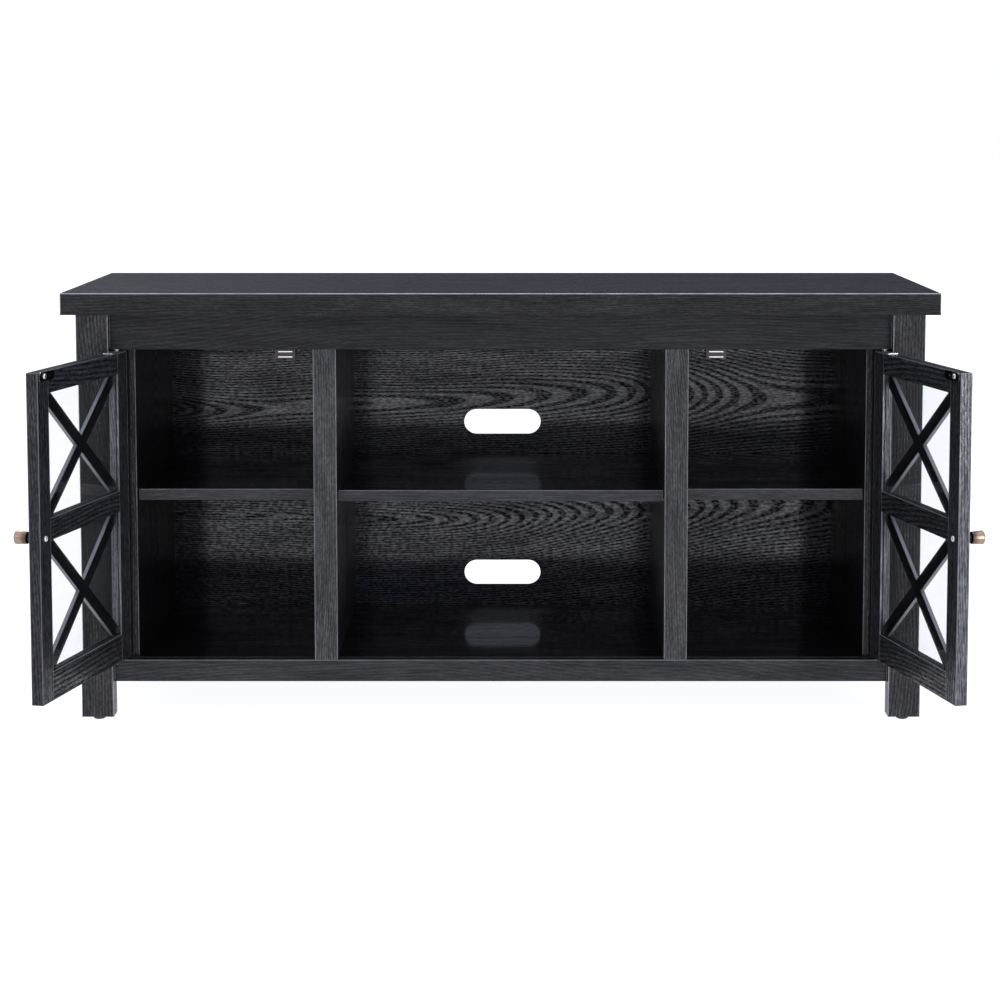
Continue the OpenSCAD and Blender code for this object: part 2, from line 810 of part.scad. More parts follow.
module strike_plate(side) {
    r = strike_h / 2;
    color(NICKEL) on_door(side) difference() {
        union() {
            block([strike_x[0] + r, door_t, strike_z - r], [strike_x[1] - r, door_t + strike_t, strike_z + r]);
            for (x = [strike_x[0] + r, strike_x[1] - r])
                rod([x, door_t, strike_z], "y", 0, strike_t, strike_h);
        }
        rod([strike_screw_x, door_t, strike_z], "y", -past, strike_t + past, plate_screw_d + 2 * fit);
        rod([strike_dot_x, door_t, strike_z], "y", -past, strike_t + past, strike_dot_d);
    }
}

// The plates on the top and bottom edges, each with its pin
module pivot_plate() {
    difference() {
        union() {
            block([pivot_plate_x[0], pivot_plate_y[0], 0], [pivot_plate_x[1], pivot_plate_y[1], pivot_plate_t]);
            rod([pivot_from_edge, pivot_from_face, 0], "z", 0, door_top_gap + pin_reach, pivot_d);
        }
        for (x = plate_screw_xs)
            rod([x, plate_screw_y, 0], "z", -past, pivot_plate_t + past, plate_screw_head_d + 2 * fit);
    }
}

module pivot_plates(side) {
    color(NICKEL) on_door(side) {
        translate([0, 0, door_h]) pivot_plate();
        mirror([0, 0, 1]) pivot_plate();
    }
}

module door_screws(side) {
    color(NICKEL) on_door(side) {
        door_shanks(0);
        for (x = plate_screw_xs, z = [0, door_h])
            rod([x, plate_screw_y, z], "z", z > 0 ? 0 : -pivot_plate_t, z > 0 ? pivot_plate_t : 0,
                plate_screw_head_d);
        rod([strike_screw_x, door_t, strike_z], "y", -past, strike_t, plate_screw_d);
        rod([strike_screw_x, door_t, strike_z], "y", strike_t, strike_t + strike_head[1], strike_head[0]);
    }
}

module left_hinge_stile() { hinge_stile(-1); }
module left_free_stile() { free_stile(-1); }
module left_top_rail() { top_rail(-1); }
module left_middle_rail() { middle_rail(-1); }
module left_bottom_rail() { door_bottom_rail(-1); }
module left_upper_cross() { cross(-1, upper_cell); }
module left_lower_cross() { cross(-1, lower_cell); }
module left_glass() { glass(-1); }
module left_knob() { knob(-1); }
module left_knob_screw() { knob_screw(-1); }
module left_strike_plate() { strike_plate(-1); }
module left_pivot_plates() { pivot_plates(-1); }
module left_door_screws() { door_screws(-1); }
module right_hinge_stile() { hinge_stile(1); }
module right_free_stile() { free_stile(1); }
module right_top_rail() { top_rail(1); }
module right_middle_rail() { middle_rail(1); }
module right_bottom_rail() { door_bottom_rail(1); }
module right_upper_cross() { cross(1, upper_cell); }
module right_lower_cross() { cross(1, lower_cell); }
module right_glass() { glass(1); }
module right_knob() { knob(1); }
module right_knob_screw() { knob_screw(1); }
module right_strike_plate() { strike_plate(1); }
module right_pivot_plates() { pivot_plates(1); }
module right_door_screws() { door_screws(1); }

top_panel();
apron();
bottom_rail();
top_battens();
front_leg_left();
front_leg_right();
rear_leg_left();
rear_leg_right();
side_board_left();
side_board_right();
side_panel_left();
side_panel_right();
side_spacers();
bottom_panel();
partition_left();
partition_right();
shelf_left();
shelf_middle();
shelf_right();
back_panel();
support_leg_left();
support_leg_right();
foot_glides();
dowels();
cam_bolts();
cam_locks();
base_screws();
back_nails();
shelf_pins();
catch_housings();
catch_poles();
catch_magnets();
catch_screws();
pivot_bushes();
left_hinge_stile();
left_free_stile();
left_top_rail();
left_middle_rail();
left_bottom_rail();
left_upper_cross();
left_lower_cross();
left_glass();
left_knob();
left_knob_screw();
left_strike_plate();
left_pivot_plates();
left_door_screws();
right_hinge_stile();
right_free_stile();
right_top_rail();
right_middle_rail();
right_bottom_rail();
right_upper_cross();
right_lower_cross();
right_glass();
right_knob();
right_knob_screw();
right_strike_plate();
right_pivot_plates();
right_door_screws();
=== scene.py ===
import json
import math

import bmesh
import bpy
from mathutils import Matrix, Vector


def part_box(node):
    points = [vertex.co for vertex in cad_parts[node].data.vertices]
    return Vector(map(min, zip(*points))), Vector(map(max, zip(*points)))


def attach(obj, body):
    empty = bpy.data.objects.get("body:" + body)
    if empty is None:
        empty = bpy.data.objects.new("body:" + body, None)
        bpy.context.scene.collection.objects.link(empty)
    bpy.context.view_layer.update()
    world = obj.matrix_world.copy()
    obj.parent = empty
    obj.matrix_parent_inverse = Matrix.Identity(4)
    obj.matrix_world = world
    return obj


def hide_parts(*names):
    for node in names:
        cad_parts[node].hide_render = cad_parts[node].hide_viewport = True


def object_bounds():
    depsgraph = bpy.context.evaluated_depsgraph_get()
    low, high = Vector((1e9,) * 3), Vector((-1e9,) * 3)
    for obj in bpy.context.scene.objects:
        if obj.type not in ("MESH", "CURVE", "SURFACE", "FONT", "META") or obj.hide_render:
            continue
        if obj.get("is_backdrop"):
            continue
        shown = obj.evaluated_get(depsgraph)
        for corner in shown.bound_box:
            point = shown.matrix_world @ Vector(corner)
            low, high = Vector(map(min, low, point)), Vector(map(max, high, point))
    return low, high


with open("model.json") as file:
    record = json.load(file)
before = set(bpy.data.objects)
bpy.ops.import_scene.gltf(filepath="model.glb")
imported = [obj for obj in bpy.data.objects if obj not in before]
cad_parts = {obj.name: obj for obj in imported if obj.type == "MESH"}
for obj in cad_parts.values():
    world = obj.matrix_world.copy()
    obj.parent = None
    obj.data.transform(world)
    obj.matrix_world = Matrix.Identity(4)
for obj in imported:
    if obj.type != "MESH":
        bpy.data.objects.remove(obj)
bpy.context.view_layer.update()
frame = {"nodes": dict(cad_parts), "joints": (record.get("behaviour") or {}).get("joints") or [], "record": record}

# ---- Room: camera, floor and light ----
# A plain studio: a white floor that runs on to a white backdrop, large soft lights above and
# in front, and a camera a little above the top panel, looking slightly down from the front.

camera_place = (0.0227, -3.1495, 0.8509)
camera_tilt = math.radians(5)
camera = bpy.data.objects.new("camera", bpy.data.cameras.new("camera"))
camera.location = camera_place
camera.rotation_euler = (math.pi / 2 - camera_tilt, 0, 0)
camera.data.sensor_width = 36
camera.data.lens = 80.54
camera.data.shift_x, camera.data.shift_y = -0.017, -0.1911
bpy.context.scene.collection.objects.link(camera)
bpy.context.scene.camera = camera
bpy.context.scene.view_settings.view_transform = "Standard"


class Wire:
    """A socket in the node tree that is being wired. Arithmetic on it adds Math nodes."""

    tree = None

    def __init__(self, socket):
        self.socket = socket

    @classmethod
    def node(cls, kind, settings=None, sockets=None, out=0):
        """Any node: its type, its settings first, then the values or wires of its sockets."""
        made = cls.tree.nodes.new("ShaderNode" + kind)
        for name, value in (settings or {}).items():
            if name == "stops":
                ramp = made.color_ramp
                ramp.elements[0].position, ramp.elements[0].color = value[0]
                ramp.elements[1].position, ramp.elements[1].color = value[-1]
                for position, colour in value[1:-1]:
                    ramp.elements.new(position).color = colour
            else:
                setattr(made, name, value)
        for key, value in (sockets or {}).items():
            if isinstance(value, Wire):
                cls.tree.links.new(value.socket, made.inputs[key])
            else:
                made.inputs[key].default_value = value
        return cls(made.outputs[out])

    @classmethod
    def mixed(cls, share, first, second):
        """A colour between the first and the second."""
        return cls.node("Mix", {"data_type": "RGBA"}, {"Factor": share, 6: first, 7: second},
                        out=2)

    def math(self, operation, *others):
        values = dict(enumerate((self,) + others))
        return Wire.node("Math", {"operation": operation}, values)

    def __add__(self, other):
        return self.math("ADD", other)

    __radd__ = __add__

    def __mul__(self, other):
        return self.math("MULTIPLY", other)

    __rmul__ = __mul__

    def __sub__(self, other):
        return self.math("SUBTRACT", other)

    def __rsub__(self, other):
        return Wire.node("Math", {"operation": "SUBTRACT"}, {0: other, 1: self})

    def __abs__(self):
        return self.math("ABSOLUTE")

    def least(self, other):
        return self.math("MINIMUM", other)

    def most(self, other):
        return self.math("MAXIMUM", other)

    def step(self, low, high, out_low=0.0, out_high=1.0):
        """A smooth step from out_low to out_high as the value goes from low to high."""
        return Wire.node("MapRange", {"interpolation_type": "SMOOTHSTEP"},
                         {"Value": self, "From Min": low, "From Max": high,
                          "To Min": out_low, "To Max": out_high})

    def parts(self):
        split = Wire.tree.nodes.new("ShaderNodeSeparateXYZ")
        Wire.tree.links.new(self.socket, split.inputs[0])
        return [Wire(output) for output in split.outputs]

    def tint(self, low, high):
        """A colour between two, by this value."""
        return Wire.mixed(self, low + (1,), high + (1,))


def vector(x, y, z):
    return Wire.node("CombineXYZ", None, {0: x, 1: y, 2: z})


def noise(where, detail=2.0, rough=0.5, scale=1.0):
    return Wire.node("TexNoise", None, {"Vector": where, "Scale": scale, "Detail": detail,
                                        "Roughness": rough})


def start_material(title):
    """An empty material with a Principled shader, ready to be wired."""
    material = bpy.data.materials.new(title)
    material.use_nodes = True
    Wire.tree = material.node_tree
    return material, material.node_tree.nodes["Principled BSDF"]


def finish_material(shader, colour, roughness, height=None, depth=0.0, **constants):
    """Wires what varies over the surface, and sets what is the same all over it."""
    for name, value in (("Base Color", colour), ("Roughness", roughness)):
        if isinstance(value, Wire):
            Wire.tree.links.new(value.socket, shader.inputs[name])
        else:
            shader.inputs[name].default_value = value
    if height is not None:
        bump = Wire.node("Bump", None, {"Height": height, "Distance": depth, "Strength": 1.0})
        Wire.tree.links.new(bump.socket, shader.inputs["Normal"])
    for name, value in constants.items():
        shader.inputs[name.replace("_", " ").title().replace("Ior", "IOR")].default_value = value


def object_place():
    return Wire.node("TexCoord", None, None, out="Object")


floor_radius = 40.0
floor_glow = (0.98, 0.99, 1.04, 1)
floor_mesh = bpy.data.meshes.new("studio_floor")
work = bmesh.new()
bmesh.ops.create_circle(work, cap_ends=True, segments=96, radius=floor_radius)
work.to_mesh(floor_mesh)
work.free()
floor = bpy.data.objects.new("studio_floor", floor_mesh)
bpy.context.scene.collection.objects.link(floor)
paper, shader = start_material("studio_paper")
fibres = noise(object_place(), detail=3.0, scale=6.0)
finish_material(shader, fibres.tint((0.26, 0.26, 0.26), (0.30, 0.30, 0.30)), 0.85,
                specular_ior_level=0.1, emission_color=floor_glow, emission_strength=0.95)
floor_mesh.materials.append(paper)
floor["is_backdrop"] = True

# The room's own light: bright in front and overhead, dimmer behind the cabinet. What the
# camera sees of it directly is plain white.
world = bpy.data.worlds.new("studio")
world.use_nodes = True
bpy.context.scene.world = world
Wire.tree = world.node_tree
background = Wire.tree.nodes["Background"]
_, to_back, up = Wire.node("TexCoord", None, None, out="Generated").parts()
behind = to_back.step(-0.4, 0.5) * up.step(0.05, 0.68, 1.0, 0.0)
room = behind.tint((1.00, 1.02, 1.17), (0.028, 0.033, 0.048))
seen = Wire.node("LightPath", None, None, out="Is Camera Ray")
backdrop = (1, 1, 1, 1)
shown = Wire.mixed(seen, room, backdrop)
Wire.tree.links.new(shown.socket, background.inputs["Color"])
background.inputs["Strength"].default_value = 1.0


def soft_light(title, place, aim, width, height, watts):
    """A soft box at a place, turned to what it lights."""
    lamp = bpy.data.lights.new(title, "AREA")
    lamp.shape = "RECTANGLE"
    lamp.size, lamp.size_y = width, height
    lamp.energy = watts
    made = bpy.data.objects.new(title, lamp)
    made.location = place
    made.rotation_euler = (Vector(aim) - Vector(place)).to_track_quat("-Z", "Y").to_euler()
    bpy.context.scene.collection.objects.link(made)


soft_light("overhead_light", (0.0, -0.6, 3.2), (0, 0.1, 0.3), 3.2, 2.2, 40)
soft_light("front_right_light", (2.3, -2.9, 1.5), (0, 0.1, 0.35), 1.4, 1.8, 18)
soft_light("front_left_light", (-2.6, -2.6, 1.9), (0, 0.1, 0.35), 1.2, 1.6, 6)
soft_light("low_right_light", (2.2, -2.6, 0.45), (0.55, -0.5, 0.30), 0.9, 0.8, 22)
soft_light("rear_light", (-1.6, 3.0, 3.0), (0, 0.2, 0.3), 1.8, 1.4, 30)

# ---- Top panel ----
# A 30 mm board of particleboard under black oak laminate. The laminate is pressed with the
# pores of plain-sawn oak, and its arrises are rounded a little and painted paler, a painted highlight.

oak_dark = (0.0011, 0.0011, 0.0014)
oak_light = (0.0105, 0.0106, 0.0130)
# The colour of the painted highlight along the arrises
oak_highlight = (0.19, 0.19, 0.215)
arris_radius = 0.0007
lip_seam = 0.0019                        # from a board's corner to the lipping's glue line
lip_skin = 0.0009                        # how deep the lipping's own figure reaches
strip_width = 0.08                       # narrower boards show straight grain only
pith_depth = 0.040                       # how far the pith lies under the sheet


def laminate(title, low, high, grain, seed, place=object_place, arris=0.7, gloss=0.9,
             film_blur=0.24, worn_colour=oak_highlight, light_colour=oak_light, film_ior=1.7,
             relief=0.00065, leaf=None, lip_sheen_colour=None, pores=0.8, pitch=0.0043,
             base_shine=0.14, streaky=0.35):
    """Black oak laminate on a board with these corners. The figure runs along the axis
    grain; each board has its own seed, so no two show the same stretch of the sheet.
    leaf is the middle and half height of a figure that is mirrored about a line."""
    size = [high[i] - low[i] for i in range(3)]
    middle = [(high[i] + low[i]) / 2 for i in range(3)]
    thick, wide = sorted((i for i in range(3) if i != grain), key=lambda i: size[i])
    material, shader = start_material(title)
    from_middle = [part - middle[i] for i, part in enumerate(place().parts())]
    along, across, through = (from_middle[i] for i in (grain, wide, thick))

    # The arris: where the distances to two faces are both small. The lipping on the narrow
    # faces is cut from its own stretch of the sheet.
    near = [size[i] / 2 - abs(from_middle[i]) for i in range(3)]
    small, large = near[0].least(near[1]), near[0].most(near[1])
    edge = small.most(large.least(near[2]))
    lipping = near[wide].step(0.0, lip_skin, 1.0, 0.0)

    # Growth rings round a pith that lies under the sheet and slopes away along it
    shift = 0.115 if size[wide] < strip_width else math.sin(seed * 12.9) * size[wide] * 0.3
    slope = (0.14 + 0.06 * math.sin(seed * 4.1)) * (1 if int(seed) % 2 else -1)
    wander = noise(vector(along * 1.9 + seed, across * 2.5, through * 2.5), detail=1.0) - 0.5
    flat = across + shift if leaf is None else abs(across - leaf[0]) - leaf[1]
    aside = flat + lipping * (through + 0.135 - flat) + wander * 0.05
    below = along * slope + through + pith_depth + wander * 0.09
    ring = (aside * aside + below * below).math("SQRT")
    sway = noise(vector(along * 13 + seed, across * 40, through * 40), detail=2.0) - 0.5
    turn = ring * (2 * math.pi / pitch) + sway * 2.4
    bands = (0.5 + 0.5 * turn.math("SINE")).step(0.20, 0.72)

    # The pressed grooves run in short dashes, thick in the open wood of each ring
    dashes = noise(vector(across * 430 + aside * 120, along * 135 + seed, through * 430),
                   detail=1.0, rough=0.4).step(0.42, 0.56)
    grooves = (bands * (0.60 + 0.40 * dashes)).most(0.55 * dashes) * pores
    fibres = noise(vector(across * 700, along * 22 + seed, through * 700), detail=2.0, rough=0.65)
    fibres = fibres.step(0.30, 0.70)
    clouds = noise(vector(along * 2.2, across * 3.0 + seed, through * 3.0), detail=2.0)
    # A painted highlight along the arrises: a pale band, broken up by noise and left off the bottom arrises
    rubbed = noise(vector(along * 40 + seed, across * 90, through * 90), detail=2.0)
    under = from_middle[2].step(0.0012 - size[2] / 2, 0.0030 - size[2] / 2)
    worn = edge.step(0.00025, 0.0013, arris, 0.0) * rubbed.step(0.2, 0.7, 0.6, 1.0) * under
    seam = abs(edge - lip_seam).step(0.0, 0.00022, 0.4, 0.0)
    streaks = noise(vector(along * 5.0, across * 36 + seed, through * 36), detail=3.0, rough=0.65)
    streaks = streaks.step(0.30, 0.70)

    light = (0.55 * fibres + 0.45 * clouds) * (1 - 0.92 * grooves) * (1 - seam)
    colour = light.tint(oak_dark, light_colour)
    # Where a lip colour is given, the lipped narrow faces are painted paler: a painted sheen.
    if lip_sheen_colour:
        lip_sheen_tone = (0.6 * fibres + 0.4 * clouds) * (1 - 0.6 * grooves)
        colour = Wire.mixed(lipping, colour, lip_sheen_tone.tint(oak_light, lip_sheen_colour))
    # The painted arris highlight goes into the colour here
    colour = Wire.mixed(worn, colour, worn_colour + (1,))
    roughness = 0.40 + 0.22 * grooves + 0.06 * (1 - fibres) - 0.10 * worn
    height = 0.10 * fibres - 0.90 * grooves - 0.3 * seam
    finish_material(shader, colour, roughness, height, relief, specular_ior_level=base_shine,
                    specular_tint=(0.82, 0.84, 0.94, 1), coat_roughness=film_blur,
                    coat_ior=film_ior)
    sheeny = 0.25 + 0.40 * fibres + streaks * (streaky + lipping * (0.35 - streaky))
    film = gloss * sheeny * (1 - 0.95 * grooves) + 0.3 * worn
    Wire.tree.links.new(film.socket, shader.inputs["Coat Weight"])
    return material


def ease(node, radius=arris_radius, segments=2):
    """Rounds the arrises of a board a little, as its edge lipping is rounded."""
    weld = node.modifiers.new("weld", "WELD")
    weld.merge_threshold = 0.000002
    flat = node.modifiers.new("flat", "DECIMATE")
    flat.decimate_type = "DISSOLVE"
    flat.angle_limit = math.radians(0.5)
    bevel = node.modifiers.new("arris", "BEVEL")
    bevel.width = radius
    bevel.segments = segments
    bevel.limit_method = "ANGLE"
    bevel.angle_limit = math.radians(50)
    bevel.harden_normals = True
    for face in node.data.polygons:
        face.use_smooth = True
    normals = node.modifiers.new("normals", "WEIGHTED_NORMAL")
    normals.keep_sharp = True


def dress(name, material):
    """Gives a node of the cabinet its finish."""
    node = frame["nodes"][name]
    for place in node.material_slots:
        place.link = "OBJECT"
        place.material = material
    return node


def board(name, grain, seed, **finish):
    low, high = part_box(name)
    ease(dress(name, laminate(name + "_oak", low, high, grain, seed, **finish)))


along_x, along_z = 0, 2
# The top's arrises carry the brightest painted highlight.
board("top_panel", along_x, 1.3, arris=1.0, gloss=0.56, worn_colour=(0.55, 0.55, 0.58),
      relief=0.0009, pores=0.5, film_blur=0.15, base_shine=0.06, streaky=1.3)

# ---- Apron, bottom rail and battens ----
# The apron hangs under the top between the front legs, and the rail closes the front of the
# bottom panel. Three battens behind the apron stiffen the top and carry the door catches.

board("apron", along_x, 2.6, gloss=0.38, pores=0.5)
board("bottom_rail", along_x, 3.4, gloss=0.66, pores=0.45)
board("top_battens", along_x, 4.7, arris=0.4)

# ---- Legs ----
# Four flat legs, 44.5 by 28 mm, laminated all round, that run from the floor glides to the
# top. The side panels are dowelled between them.

# The front legs' arrises carry a bright painted highlight.
leg_finish = dict(gloss=0.95, pores=0.75, arris=1.0, worn_colour=(0.34, 0.34, 0.37))
board("front_leg_left", along_z, 5.2, **leg_finish)
board("front_leg_right", along_z, 6.9, **leg_finish)
board("rear_leg_left", along_z, 7.4)
board("rear_leg_right", along_z, 8.1)

# ---- Side boards, side panels and spacers ----
# The side of the case is double: an outer panel between the legs, and a 32 mm inner board
# that carries the shelf pins. Raw fibreboard blocks keep the two apart.

# The inner side boards get a darker grain colour than the rest of the laminate: painted shade inside the case.
painted_shade_side = dict(light_colour=(0.0032, 0.0032, 0.0038), gloss=0.7, base_shine=0.08)
board("side_board_left", along_z, 9.5, **painted_shade_side)
board("side_board_right", along_z, 10.2, **painted_shade_side)
board("side_panel_left", along_z, 11.8)
board("side_panel_right", along_z, 12.5)

fibreboard, shader = start_material("raw_fibreboard")
felt = noise(object_place(), detail=4.0, rough=0.7, scale=700.0)
lumps = noise(object_place(), detail=2.0, scale=90.0)
finish_material(shader, (0.7 * felt + 0.3 * lumps).tint((0.10, 0.068, 0.043), (0.24, 0.17, 0.11)),
                0.85 + 0.1 * felt, felt, 0.0003)
dress("side_spacers", fibreboard)

# ---- Bottom panel and partitions ----
# The bottom panel lies behind the rail. Two 32 mm partitions stand on it, notched at the top
# for the apron; their front edges are lipped and their grain stands upright.

# Inside the case the grain gets a much darker colour, a painted shade, and the lipped front edges a paler one, a
# painted sheen.
inside_shade_and_edge_sheen = dict(light_colour=(0.0020, 0.0020, 0.0022), gloss=0.95, film_blur=0.09,
                  relief=0.00030, pores=0.5, film_ior=1.5, base_shine=0.05,
                  lip_sheen_colour=(0.030, 0.030, 0.034))
board("bottom_panel", along_x, 13.1, **inside_shade_and_edge_sheen)
board("partition_left", along_z, 14.6, gloss=1.05, film_ior=1.85, pores=0.65)
board("partition_right", along_z, 15.3, gloss=1.05, film_ior=1.85, pores=0.65)

# ---- Shelves ----
# Three 16 mm shelves rest on steel pins, four to a shelf. The middle one is set back less
# than the two behind the doors.

# The shelves carry the same painted shade, with a painted sheen on their front edges.
board("shelf_left", along_x, 16.8, **inside_shade_and_edge_sheen)
board("shelf_middle", along_x, 17.2, **inside_shade_and_edge_sheen)
board("shelf_right", along_x, 18.7, **inside_shade_and_edge_sheen)

# ---- Back panel ----
# A thin sheet of hardboard with the same laminate, in one piece across all three bays, with
# two long round-ended slots for cables cut behind the middle bay.

low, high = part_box("back_panel")
shelf_middle = (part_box("shelf_middle")[0].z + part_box("shelf_middle")[1].z) / 2
leaf_half_height = 0.090
leaf = (shelf_middle - (low.z + high.z) / 2, leaf_half_height)
# The light end of the back panel's grain is tinted strongly blue: a painted bluish reflection.
ease(dress("back_panel", laminate("back_panel_oak", low, high, along_x, 19.4, gloss=1.0,
                                  film_ior=1.90, film_blur=0.12, relief=0.0006,
                                  light_colour=(0.0100, 0.0106, 0.0310),
                                  leaf=leaf, pores=0.99, pitch=0.0034, base_shine=0.05)),
     radius=0.0004, segments=2)

# ---- Centre supports and floor glides ----
# Two short square legs carry the bottom panel under the partitions. Every leg stands on a
# moulded glide, a shallow dome that is nailed on.

board("support_leg_left", along_z, 20.6)
board("support_leg_right", along_z, 21.9)


def turned(work, profile, place, turn, steps=40):
    """Adds a turned shape to a mesh: a profile of (radius, height) pairs, spun round its own
    Z axis, then turned and set in place."""
    rings = []
    for radius, height in profile:
        if radius < 1e-6:
            rings.append([work.verts.new((0, 0, height))])
        else:
            rings.append([work.verts.new((radius * math.cos(2 * math.pi * i / steps),
                                          radius * math.sin(2 * math.pi * i / steps), height))
                          for i in range(steps)])
    for first, second in zip(rings, rings[1:]):
        for i in range(steps):
            j = (i + 1) % steps
            corners = [first[i % len(first)], first[j % len(first)],
                       second[j % len(second)], second[i % len(second)]]
            corners = list(dict.fromkeys(corners))
            if len(corners) > 2:
                work.faces.new(corners)
    points = [point for ring in rings for point in ring]
    bmesh.ops.transform(work, matrix=Matrix.Translation(place) @ turn, verts=points)


def piece(title, work, material, body, stands_for=None, sharp=35):
    """Makes an object of a finished mesh, smooth except where its faces meet steeply."""
    bmesh.ops.recalc_face_normals(work, faces=work.faces)
    for face in work.faces:
        face.smooth = True
    for edge in work.edges:
        edge.smooth = len(edge.link_faces) == 2 and edge.calc_face_angle() < math.radians(sharp)
    mesh = bpy.data.meshes.new(title)
    work.to_mesh(mesh)
    work.free()
    mesh.materials.append(material)
    made = bpy.data.objects.new(title, mesh)
    bpy.context.scene.collection.objects.link(made)
    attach(made, body)
    if stands_for:
        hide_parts(stands_for)
    return made


def moulded(title, dark, light, roughness, scale=900.0):
    """Moulded plastic with the fine texture of its tool and slight flow marks."""
    material, shader = start_material(title)
    grainy = noise(object_place(), detail=3.0, rough=0.6, scale=scale)
    flow = noise(object_place(), detail=2.0, scale=45.0)
    finish_material(shader, (0.6 * grainy + 0.4 * flow).tint(dark, light),
                    roughness + 0.16 * grainy, grainy, 0.00005, specular_ior_level=0.5)
    return material


black_plastic = moulded("black_plastic_moulded", (0.012, 0.012, 0.013),
                        (0.026, 0.026, 0.028), 0.42)
low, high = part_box("foot_glides")
glide_radius = 0.0085
glide_height = 0.0056
nail_radius = 0.0015
nail_foot, nail_tip = glide_height - 0.0002, glide_height + 0.0138
upright = Matrix.Identity(4)
feet = []
for leg in ("front_leg_left", "front_leg_right", "rear_leg_left", "rear_leg_right",
            "support_leg_left", "support_leg_right"):
    leg_low, leg_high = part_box(leg)
    feet.append(((leg_low + leg_high) / 2).xy)
work = bmesh.new()
for x, y in feet:
    turned(work, [(0, 0), (glide_radius * 0.45, 0.0), (glide_radius * 0.80, 0.0004),
                  (glide_radius * 0.95, 0.0012), (glide_radius, 0.0022),
                  (glide_radius, glide_height - 0.0004), (glide_radius - 0.0004, glide_height),
                  (0, glide_height)], (x, y, 0), upright)
    turned(work, [(0, nail_foot), (nail_radius, nail_foot), (nail_radius, nail_tip),
                  (0, nail_tip)], (x, y, 0), upright, steps=16)
piece("foot_glides_moulded", work, black_plastic, "case", "foot_glides")

# ---- Fasteners of the case ----
# Beech dowels place the boards, cam locks with their bolts pull the top down, long screws
# come up through the bottom panel, wire nails hold the back, and steel pins carry shelves.


def plated(title, dark, light, roughness, tarnish=0.35, scale=260.0, metal=1.0):
    """Plated or bare metal: brushed lightly, clouded and spotted where hands have been."""
    material, shader = start_material(title)
    place = object_place()
    x, y, z = place.parts()
    clouds = noise(place, detail=4.0, rough=0.6, scale=scale)
    brushed = noise(vector(x * 300, y * 300, z * 4200), detail=2.0)
    spots = noise(place, detail=3.0, rough=0.7, scale=scale * 5).step(0.60, 0.72)
    shine = (0.65 * clouds.step(0.3, 0.7) + 0.35 * brushed) * (1 - tarnish * spots)
    finish_material(shader, shine.tint(dark, light), roughness + 0.16 * (1 - shine),
                    0.6 * brushed + 0.4 * clouds, 0.00003, metallic=metal)
    return material


beech, shader = start_material("planed_beech")
x, y, z = object_place().parts()
flecks = noise(vector(x * 260, y * 260, z * 1300), detail=2.0)
tone = noise(object_place(), detail=2.0, scale=60.0)
finish_material(shader, (0.5 * flecks + 0.5 * tone).tint((0.42, 0.27, 0.15), (0.62, 0.45, 0.27)),
                0.6 + 0.15 * flecks, flecks, 0.0001)
dress("dowels", beech)

zinc = plated("zinc_plate", (0.36, 0.37, 0.38), (0.66, 0.67, 0.68), 0.30)
nickel = plated("nickel_plate", (0.46, 0.46, 0.45), (0.80, 0.80, 0.79), 0.20, tarnish=0.2)
for name in ("cam_bolts", "cam_locks", "base_screws", "back_nails"):
    ease(dress(name, zinc), radius=0.00012)
ease(dress("shelf_pins", nickel), radius=0.0003)

# ---- Catches ----
# A magnetic catch hangs under each side batten: a moulded housing with two ears, a ferrite
# magnet between two steel pole plates, and a screw through each ear.

brown_plastic = moulded("brown_plastic_moulded", (0.016, 0.010, 0.008),
                        (0.040, 0.026, 0.020), 0.36)
ease(dress("catch_housings", brown_plastic), radius=0.0005)
steel = plated("bright_steel", (0.72, 0.72, 0.71), (0.92, 0.92, 0.91), 0.28, tarnish=0.1)
ease(dress("catch_poles", steel), radius=0.0002)
brown_screws = plated("bronzed_steel", (0.10, 0.080, 0.068), (0.24, 0.20, 0.18), 0.34)
ease(dress("catch_screws", brown_screws), radius=0.0003)
ferrite = moulded("sintered_ferrite", (0.018, 0.018, 0.019), (0.05, 0.05, 0.052), 0.6)
dress("catch_magnets", ferrite)

# ---- Door pivots ----
# Each door turns on two steel pins in flanged nylon bushes, one pressed up into the apron
# and one down into the bottom rail.

nylon = moulded("natural_nylon", (0.62, 0.60, 0.55), (0.80, 0.78, 0.73), 0.40)
ease(dress("pivot_bushes", nylon), radius=0.00015)

# ---- Doors ----
# Each door is a frame of two stiles and three rails, 16 mm thick, tongued together, with two
# panes in grooves and a cross of thin smooth bars in front of each pane.

hinges = {joint["child"]: joint for joint in frame["joints"]}
closed_turn = math.radians(frame["record"]["behaviour"]["joints"][0]["range_deg"][1])
foil_dark, foil_light = (0.0015, 0.0015, 0.0020), (0.0040, 0.0040, 0.0052)
# The colours of the painted sheen on the cross bars' narrow sides
foil_side_sheen = ((0.125, 0.131, 0.150), (0.200, 0.208, 0.235))
foil_skin = 0.0009
# The door frames' grain gets a much lighter colour than the case's laminate: painted sheen in the grain.
frame_grain_sheen = (0.050, 0.051, 0.060)
rail_pitch, stile_pitch = 0.0062, 0.0046
# The stiles' narrow faces are painted paler, each to its own level: a painted sheen.
stile_edge_sheen = {"left_free_stile": (0.013, 0.013, 0.016),
              "right_free_stile": (0.165, 0.167, 0.188),
              "left_hinge_stile": (0.23, 0.233, 0.256),
              "right_hinge_stile": (0.26, 0.264, 0.290)}


